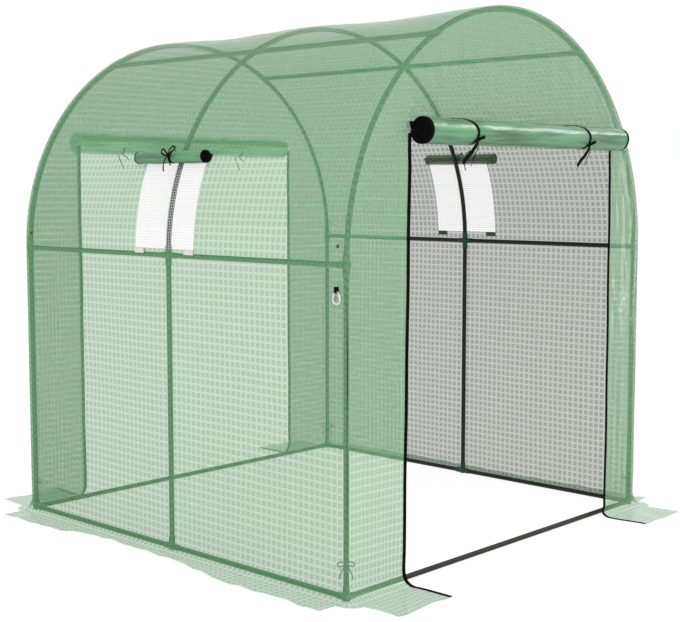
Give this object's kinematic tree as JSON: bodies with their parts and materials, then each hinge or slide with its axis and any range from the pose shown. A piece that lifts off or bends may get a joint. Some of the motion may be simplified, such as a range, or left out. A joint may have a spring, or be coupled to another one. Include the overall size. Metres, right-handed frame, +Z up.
{
  "type": "polytunnel greenhouse",
  "caption": "Walk-in tunnel greenhouse with a push-fit tube frame, a woven film cover, roll-up doors at both ends and net windows in its shoulders.",
  "frame": {"origin": "middle of the ground that the tunnel covers, on the plane its flaps lie on", "axes": "+Z up, +Y along the tunnel from the front doorway to the back one, +X to the right seen from the front"},
  "size_m": [2.07, 2.24, 1.9998],
  "materials": {
    "frame_tube": "satin dark grey paint",
    "connector": "moulded green plastic",
    "film": "glossy woven film",
    "rolled_film": "glossy woven film in many layers",
    "net": "white knitted net",
    "black_tape": "black woven tape",
    "fastener_tab": "pale hook and loop tape",
    "hook_metal": "white coated wire",
    "eyelet": "dark green moulded eyelet"
  },
  "bodies": {
    "root": {"left_legs": "frame_tube", "right_legs": "frame_tube", "front_arch": "frame_tube", "middle_arch": "frame_tube", "back_arch": "frame_tube", "left_ground_rails": "frame_tube", "right_ground_rails": "frame_tube", "front_ground_rail": "frame_tube", "back_ground_rail": "frame_tube", "left_side_rails": "frame_tube", "right_side_rails": "frame_tube", "left_purlins": "frame_tube", "right_purlins": "frame_tube", "ground_connectors": "connector", "side_rail_connectors": "connector", "purlin_connectors": "connector", "left_wall_cover": "film", "right_wall_cover": "film", "left_shoulder_cover": "film", "roof_cover": "film", "right_shoulder_cover": "film", "front_left_cover": "film", "front_right_cover": "film", "front_gable_cover": "film", "back_left_cover": "film", "back_right_cover": "film", "back_gable_cover": "film", "left_ground_flap": "film", "right_ground_flap": "film", "front_ground_flaps": "film", "back_ground_flaps": "film", "front_door_zips": "black_tape", "back_door_zips": "black_tape", "front_door_roll": "rolled_film", "back_door_roll": "rolled_film", "door_roll_ties": "black_tape", "left_window_net": "net", "right_window_net": "net", "left_window_roll": "rolled_film", "right_window_roll": "rolled_film", "window_roll_ties": "black_tape", "window_tabs": "fastener_tab", "hook_strap": "black_tape", "snap_hook": "hook_metal", "eyelets": "eyelet"}
  },
  "joints": []
}
